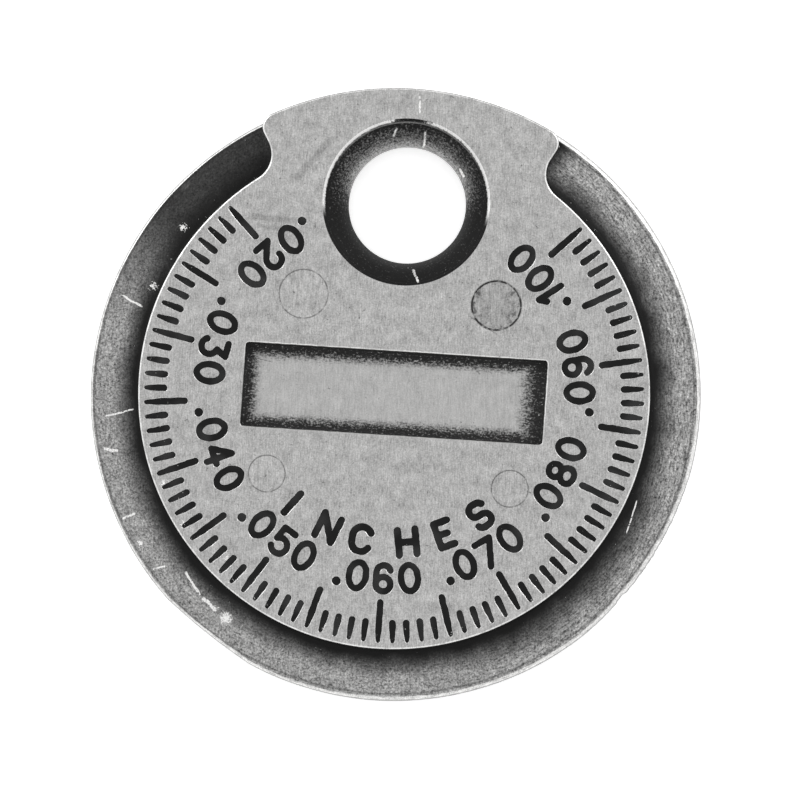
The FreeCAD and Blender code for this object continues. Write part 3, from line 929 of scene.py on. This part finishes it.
def pocket_wear(g, speckle):
    """Rub on the pocket's floor, with a ragged black border that is wider at the right."""
    from_right = g.multiply(g.subtract(POCKET_HALF_LENGTH, g.x), 0.55)
    from_left = g.multiply(g.add(POCKET_HALF_LENGTH, g.x), 0.95)
    from_side = g.subtract(POCKET_HALF_WIDTH, g.math("ABSOLUTE", g.y))
    from_border = g.both(g.both(from_right, from_left), from_side)
    streaks = g.noise(0.08, 4.0, 0.7, stretch=(3, 1, 1))
    ragged = g.add(g.add(speckle, streaks), -1.0)
    reach = g.math("DIVIDE", g.subtract(from_border, 0.22), 0.95, clamp=True)
    fading = g.subtract(1.0, g.multiply(reach, 0.75))
    return g.step(g.add(reach, g.multiply(g.multiply(ragged, fading), 2.3)), 0.15, 0.85, 0.03, 1.0)


def pin_marks_shade(g, front):
    """Darkness of the ejector pins' prints: a thin broken outline, and a duller face at the upper right."""
    breaks = g.step(g.noise(0.35, 2.0), 0.36, 0.50, 0.35, 1.0)
    blotches = g.step(g.noise(0.5, 4.0, 0.65), 0.48, 0.66)
    total = 0.0
    inside = 0.0
    for x, y, radius in PIN_MARKS:
        away = g.distance_from(x, y)
        deep = x > 0 and y > 0
        line = 0.12 if deep else 0.07
        outline = g.step(g.math("ABSOLUTE", g.subtract(away, radius)), 0.015, line, 1.0, 0.0)
        face = g.step(away, radius, radius + 0.06, 1.0, 0.0)
        strength = 0.95 if deep else 0.5
        total = g.either(total, g.multiply(g.multiply(outline, breaks), strength))
        if deep:
            near_edge = g.step(away, 0.3 * radius, radius, 0.25, 1.0)
            dull = g.add(0.14, g.multiply(g.multiply(blotches, near_edge), 0.65))
            total = g.either(total, g.multiply(face, dull))
        inside = g.either(inside, face)
    return g.multiply(total, front), g.multiply(inside, front)


def pocket_region(g):
    """1 in the pocket and on its worn edge."""
    half_length = POCKET_HALF_LENGTH + POCKET_LIP + 0.02
    half_width = POCKET_HALF_WIDTH + POCKET_LIP + 0.02
    return g.both(
        g.math("LESS_THAN", g.math("ABSOLUTE", g.x), half_length),
        g.math("LESS_THAN", g.math("ABSOLUTE", g.y), half_width),
    )


def hole_region(g):
    """1 inside the keyring hole, which is narrower at the back."""
    reach = g.step(g.z, 0.4, 0.5, HOLE_BACK_RADIUS + 0.02, HOLE_FRONT_RADIUS + 0.028)
    return g.math("LESS_THAN", g.distance_from(0, HOLE_Y), reach)


def face_edge_rub_and_highlight(g, depth, in_pocket, spared):
    """Bright edges just below a face, in patches: partly rubbed metal, partly painted highlight, which is
    weaker on the pocket's lower side.
    """
    worn_edge = g.multiply(g.step(depth, 0.001, 0.006), g.step(depth, 0.04, 0.07, 1.0, 0.0))
    # painted highlight: on the pocket the edges are made brighter towards its upper side
    upper_side = g.step(g.add(g.y, g.multiply(g.x, 0.2)), -2.0, 1.0, 0.3, 1.0)
    patches = g.step(g.noise(1.1, 3.0, 0.6), 0.34, 0.54, 0.75, 1.0)
    radius = g.distance_from(0, 0)
    gain = g.step(radius, PLATEAU_RADIUS - 0.3, PLATEAU_RADIUS - 0.15, INNER_EDGE_GAIN, EDGE_GAIN)
    gain = g.mix(in_pocket, gain, EDGE_GAIN)
    gain = g.multiply(gain, g.step(radius, DISC_RADIUS - 0.10, DISC_RADIUS - 0.06, 1.0, 0.5))
    rub = g.multiply(worn_edge, g.multiply(g.mix(in_pocket, 1.0, upper_side), patches))
    return g.multiply(g.multiply(rub, gain), g.subtract(1.0, spared))


def rubbed_metal(g, brushed, in_pocket):
    """Light that a rubbed face gives back: brushed, mottled, grainy, pitted and finely scored."""
    mottle = g.subtract(g.noise(0.8, 5.0, 0.65), 0.5)
    grain = g.subtract(g.noise(0.09, 3.0, 0.7), 0.5)
    pits = g.step(g.noise(0.26, 4.0, 0.7), 0.30, 0.36)
    fine_lines = g.step(g.noise(0.07, 2.0, 0.5, stretch=(1, 30, 1), turn=PHOTO_TURN - 0.25), 0.66, 0.74)
    texture = g.add(g.multiply(brushed, 1.3), g.add(g.multiply(mottle, 0.9), g.multiply(grain, 1.5)))
    texture = g.multiply(texture, g.mix(in_pocket, 1.0, 0.6))
    metal = g.multiply(g.add(1.0, texture), RUBBED_METAL)
    metal = g.multiply(metal, g.mix(pits, 0.45, 1.0))
    return g.multiply(metal, g.subtract(1.0, g.multiply(fine_lines, 0.25)))


def bare_places(g, speckle):
    """1 on the bright scratches and spots."""
    bare = g.step(g.scratches(BRIGHT_SCRATCHES, 2.4, 0.1), 0.1, 0.5)
    for x, y, radius in BARE_SPOTS:
        ragged = g.add(g.distance_from(x, y), g.multiply(g.subtract(speckle, 0.5), 1.6))
        bare = g.either(bare, g.step(ragged, 0.5 * radius, radius, 1.0, 0.0))
    return bare


def antique_zinc():
    """Black-finished zinc casting, rubbed bright on its high faces, with a fine brushed grain, and painted
    highlights on its edges and on the keyring hole's rim.
    """
    g = Graph("antique_zinc")
    speckle = g.noise(0.13, 5.0, 0.7)
    brushed = g.subtract(g.noise(0.06, 3.0, 0.65, stretch=(1, 12, 1), turn=PHOTO_TURN), 0.5)
    depth = g.both(g.subtract(THICKNESS, g.z), g.z)
    on_face = g.step(depth, 0.03, 0.08, 1.0, 0.0)
    front = g.step(g.z, BACK_RELIEF + 0.06, BACK_RELIEF + 0.14)
    in_hole = hole_region(g)
    in_pocket = pocket_region(g)
    pin_dark, in_pin = pin_marks_shade(g, front)

    # The rub of the black finish, with the painted highlights on edges and the hole's rim added in
    total_rub_and_highlight = g.mix(in_pocket, channel_rub_and_highlight(g, speckle), pocket_wear(g, speckle))
    total_rub_and_highlight = g.mix(in_hole, g.either(total_rub_and_highlight, on_face), hole_rub_and_highlight(g, speckle))
    total_rub_and_highlight = g.either(total_rub_and_highlight, face_edge_rub_and_highlight(g, depth, in_pocket, g.either(in_pin, in_hole)))
    bare = g.multiply(bare_places(g, speckle), front)
    flecks = g.multiply(g.step(g.noise(0.2, 4.0, 0.75), 0.70, 0.74), g.subtract(1.0, on_face))
    flecks = g.multiply(flecks, g.mix(in_pocket, 1.0, 0.2))
    total_rub_and_highlight = g.either(total_rub_and_highlight, g.multiply(g.either(bare, flecks), BARE_GAIN))

    dark_scratches = g.multiply(g.scratches(DARK_SCRATCHES, 3.0, 0.2), 0.5)
    smudges = g.multiply(g.scratches(SMUDGES, 1.0, 0.7), 0.26)
    dulled = g.multiply(g.either(dark_scratches, smudges), front)
    metal = rubbed_metal(g, brushed, in_pocket)
    metal = g.multiply(metal, g.subtract(1.0, pin_dark))
    metal = g.multiply(metal, g.subtract(1.0, dulled))

    shade = g.both(g.add(BLACK_FINISH, g.multiply(total_rub_and_highlight, metal)), BRIGHTEST)
    black = g.step(total_rub_and_highlight, 0.0, 0.5, 1.0, 0.0)
    g.set(
        Base_Color=g.mix_color(shade, BLACK, WARM_METAL),
        Metallic=g.mix(black, 1.0, 0.2),
        Roughness=g.mix(black, g.add(0.42, g.multiply(brushed, 0.3)), 0.6),
        Specular_IOR_Level=SPECULAR_LEVEL,
    )
    relief = g.add(g.multiply(brushed, 0.5), g.multiply(speckle, g.mix(on_face, 1.0, 0.35)))
    g.bump(g.subtract(relief, g.multiply(bare, 0.6)), BUMP_HEIGHT, BUMP_STRENGTH)
    return g.material


def black_fill():
    """Dull black in the engraved marks, greyer and chipped in places."""
    g = Graph("black_fill")
    worn = g.step(g.noise(1.8, 1.0), 0.45, 0.75)
    grain = g.noise(0.08, 3.0, 0.6)
    shade = g.add(FILL_BLACK, g.multiply(worn, g.multiply(grain, 0.04)))
    near_rim = g.step(g.distance_from(0, 0), PLATEAU_RADIUS - 2.2, PLATEAU_RADIUS, 0.0, 0.08)
    chips = g.step(g.add(g.noise(0.22, 4.0, 0.7), near_rim), 0.70, 0.74)
    dark = g.mix_color(shade, BLACK, WHITE)
    g.set(
        Base_Color=g.mix_color(chips, dark, CHIPPED_FILL),
        Metallic=chips,
        Roughness=g.mix(grain, 0.5, 0.75),
        Specular_IOR_Level=SPECULAR_LEVEL,
    )
    g.bump(grain, BUMP_HEIGHT, BUMP_STRENGTH)
    return g.material


def paper_floor():
    """Pale seamless floor that stays nearly white under the gauge."""
    g = Graph("pale_floor")
    fibre = g.noise(0.8, 3.0)
    g.set(
        Base_Color=g.mix_color(fibre, (0.93, 0.93, 0.93, 1), (0.97, 0.97, 0.97, 1)),
        Roughness=0.9,
        Emission_Color=WHITE,
        Emission_Strength=0.5,
    )
    bpy.ops.mesh.primitive_plane_add(size=4.0, location=(0, 0, 0))
    floor = bpy.context.object
    floor.name = "studio_floor"
    floor.data.materials.append(g.material)


def from_view(right, up):
    """The gauge's own X and Y for a place given to the right and up in the view."""
    cosine = math.cos(PHOTO_TURN)
    sine = math.sin(PHOTO_TURN)
    return right * cosine - up * sine, right * sine + up * cosine


def add_camera():
    """Camera that looks down on the front face, a little from the view's lower right."""
    top = THICKNESS * MM
    aim = Vector((*from_view(AIM_RIGHT, -AIM_DOWN), top))
    towards = Vector((*from_view(VIEW_RIGHT, -VIEW_DOWN), 1.0)).normalized()
    data = bpy.data.cameras.new("camera")
    camera = bpy.data.objects.new("camera", data)
    bpy.context.scene.collection.objects.link(camera)
    camera.location = aim + towards * CAMERA_DISTANCE
    up = Vector((*from_view(0, 1), 0))
    back = towards
    right = up.cross(back).normalized()
    true_up = back.cross(right)
    camera.rotation_euler = Matrix((right, true_up, back)).transposed().to_euler()
    data.lens = data.sensor_width * CAMERA_DISTANCE / FRAME_WIDTH
    data.clip_start = 0.01
    data.clip_end = 10
    bpy.context.scene.camera = camera


def area_light(name, right, up, height, size, power):
    """Square soft light at a place given in view directions, aimed at the gauge."""
    data = bpy.data.lights.new(name, "AREA")
    data.size = size
    data.energy = power
    light = bpy.data.objects.new(name, data)
    bpy.context.scene.collection.objects.link(light)
    light.location = (*from_view(right, up), height)
    light.rotation_euler = Vector(light.location).to_track_quat("Z", "Y").to_euler()


def add_studio():
    """White surroundings and three soft lights."""
    world = bpy.data.worlds.new("studio")
    bpy.context.scene.world = world
    world.use_nodes = True
    background = world.node_tree.nodes["Background"]
    background.inputs["Color"].default_value = WHITE
    background.inputs["Strength"].default_value = STUDIO_BRIGHTNESS
    area_light("overhead", 0.0, 0.1, 1.0, 0.7, 0.12)
    area_light("upper_left", -0.5, 0.45, 0.35, 0.15, 1.2)
    area_light("upper_right", 0.5, 0.45, 0.35, 0.15, 1.2)
    bpy.context.scene.view_settings.view_transform = "Standard"


def build_gauge():
    """The casting and its fills, each in place of its node of the frame."""
    marks = {}
    for name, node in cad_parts.items():
        if name != "cast_body":
            front = not name.startswith("metric")
            marks[name] = (mark_loops(node, front), front)
    body = casting(marks)
    body.data.materials.append(antique_zinc())
    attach(body, "root")
    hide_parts("cast_body")
    fill = black_fill()
    for name, (loops, front) in marks.items():
        piece = fill_piece(name, loops, front)
        piece.data.materials.append(fill)
        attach(piece, "root")
        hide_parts(name)


build_gauge()
paper_floor()
add_camera()
add_studio()
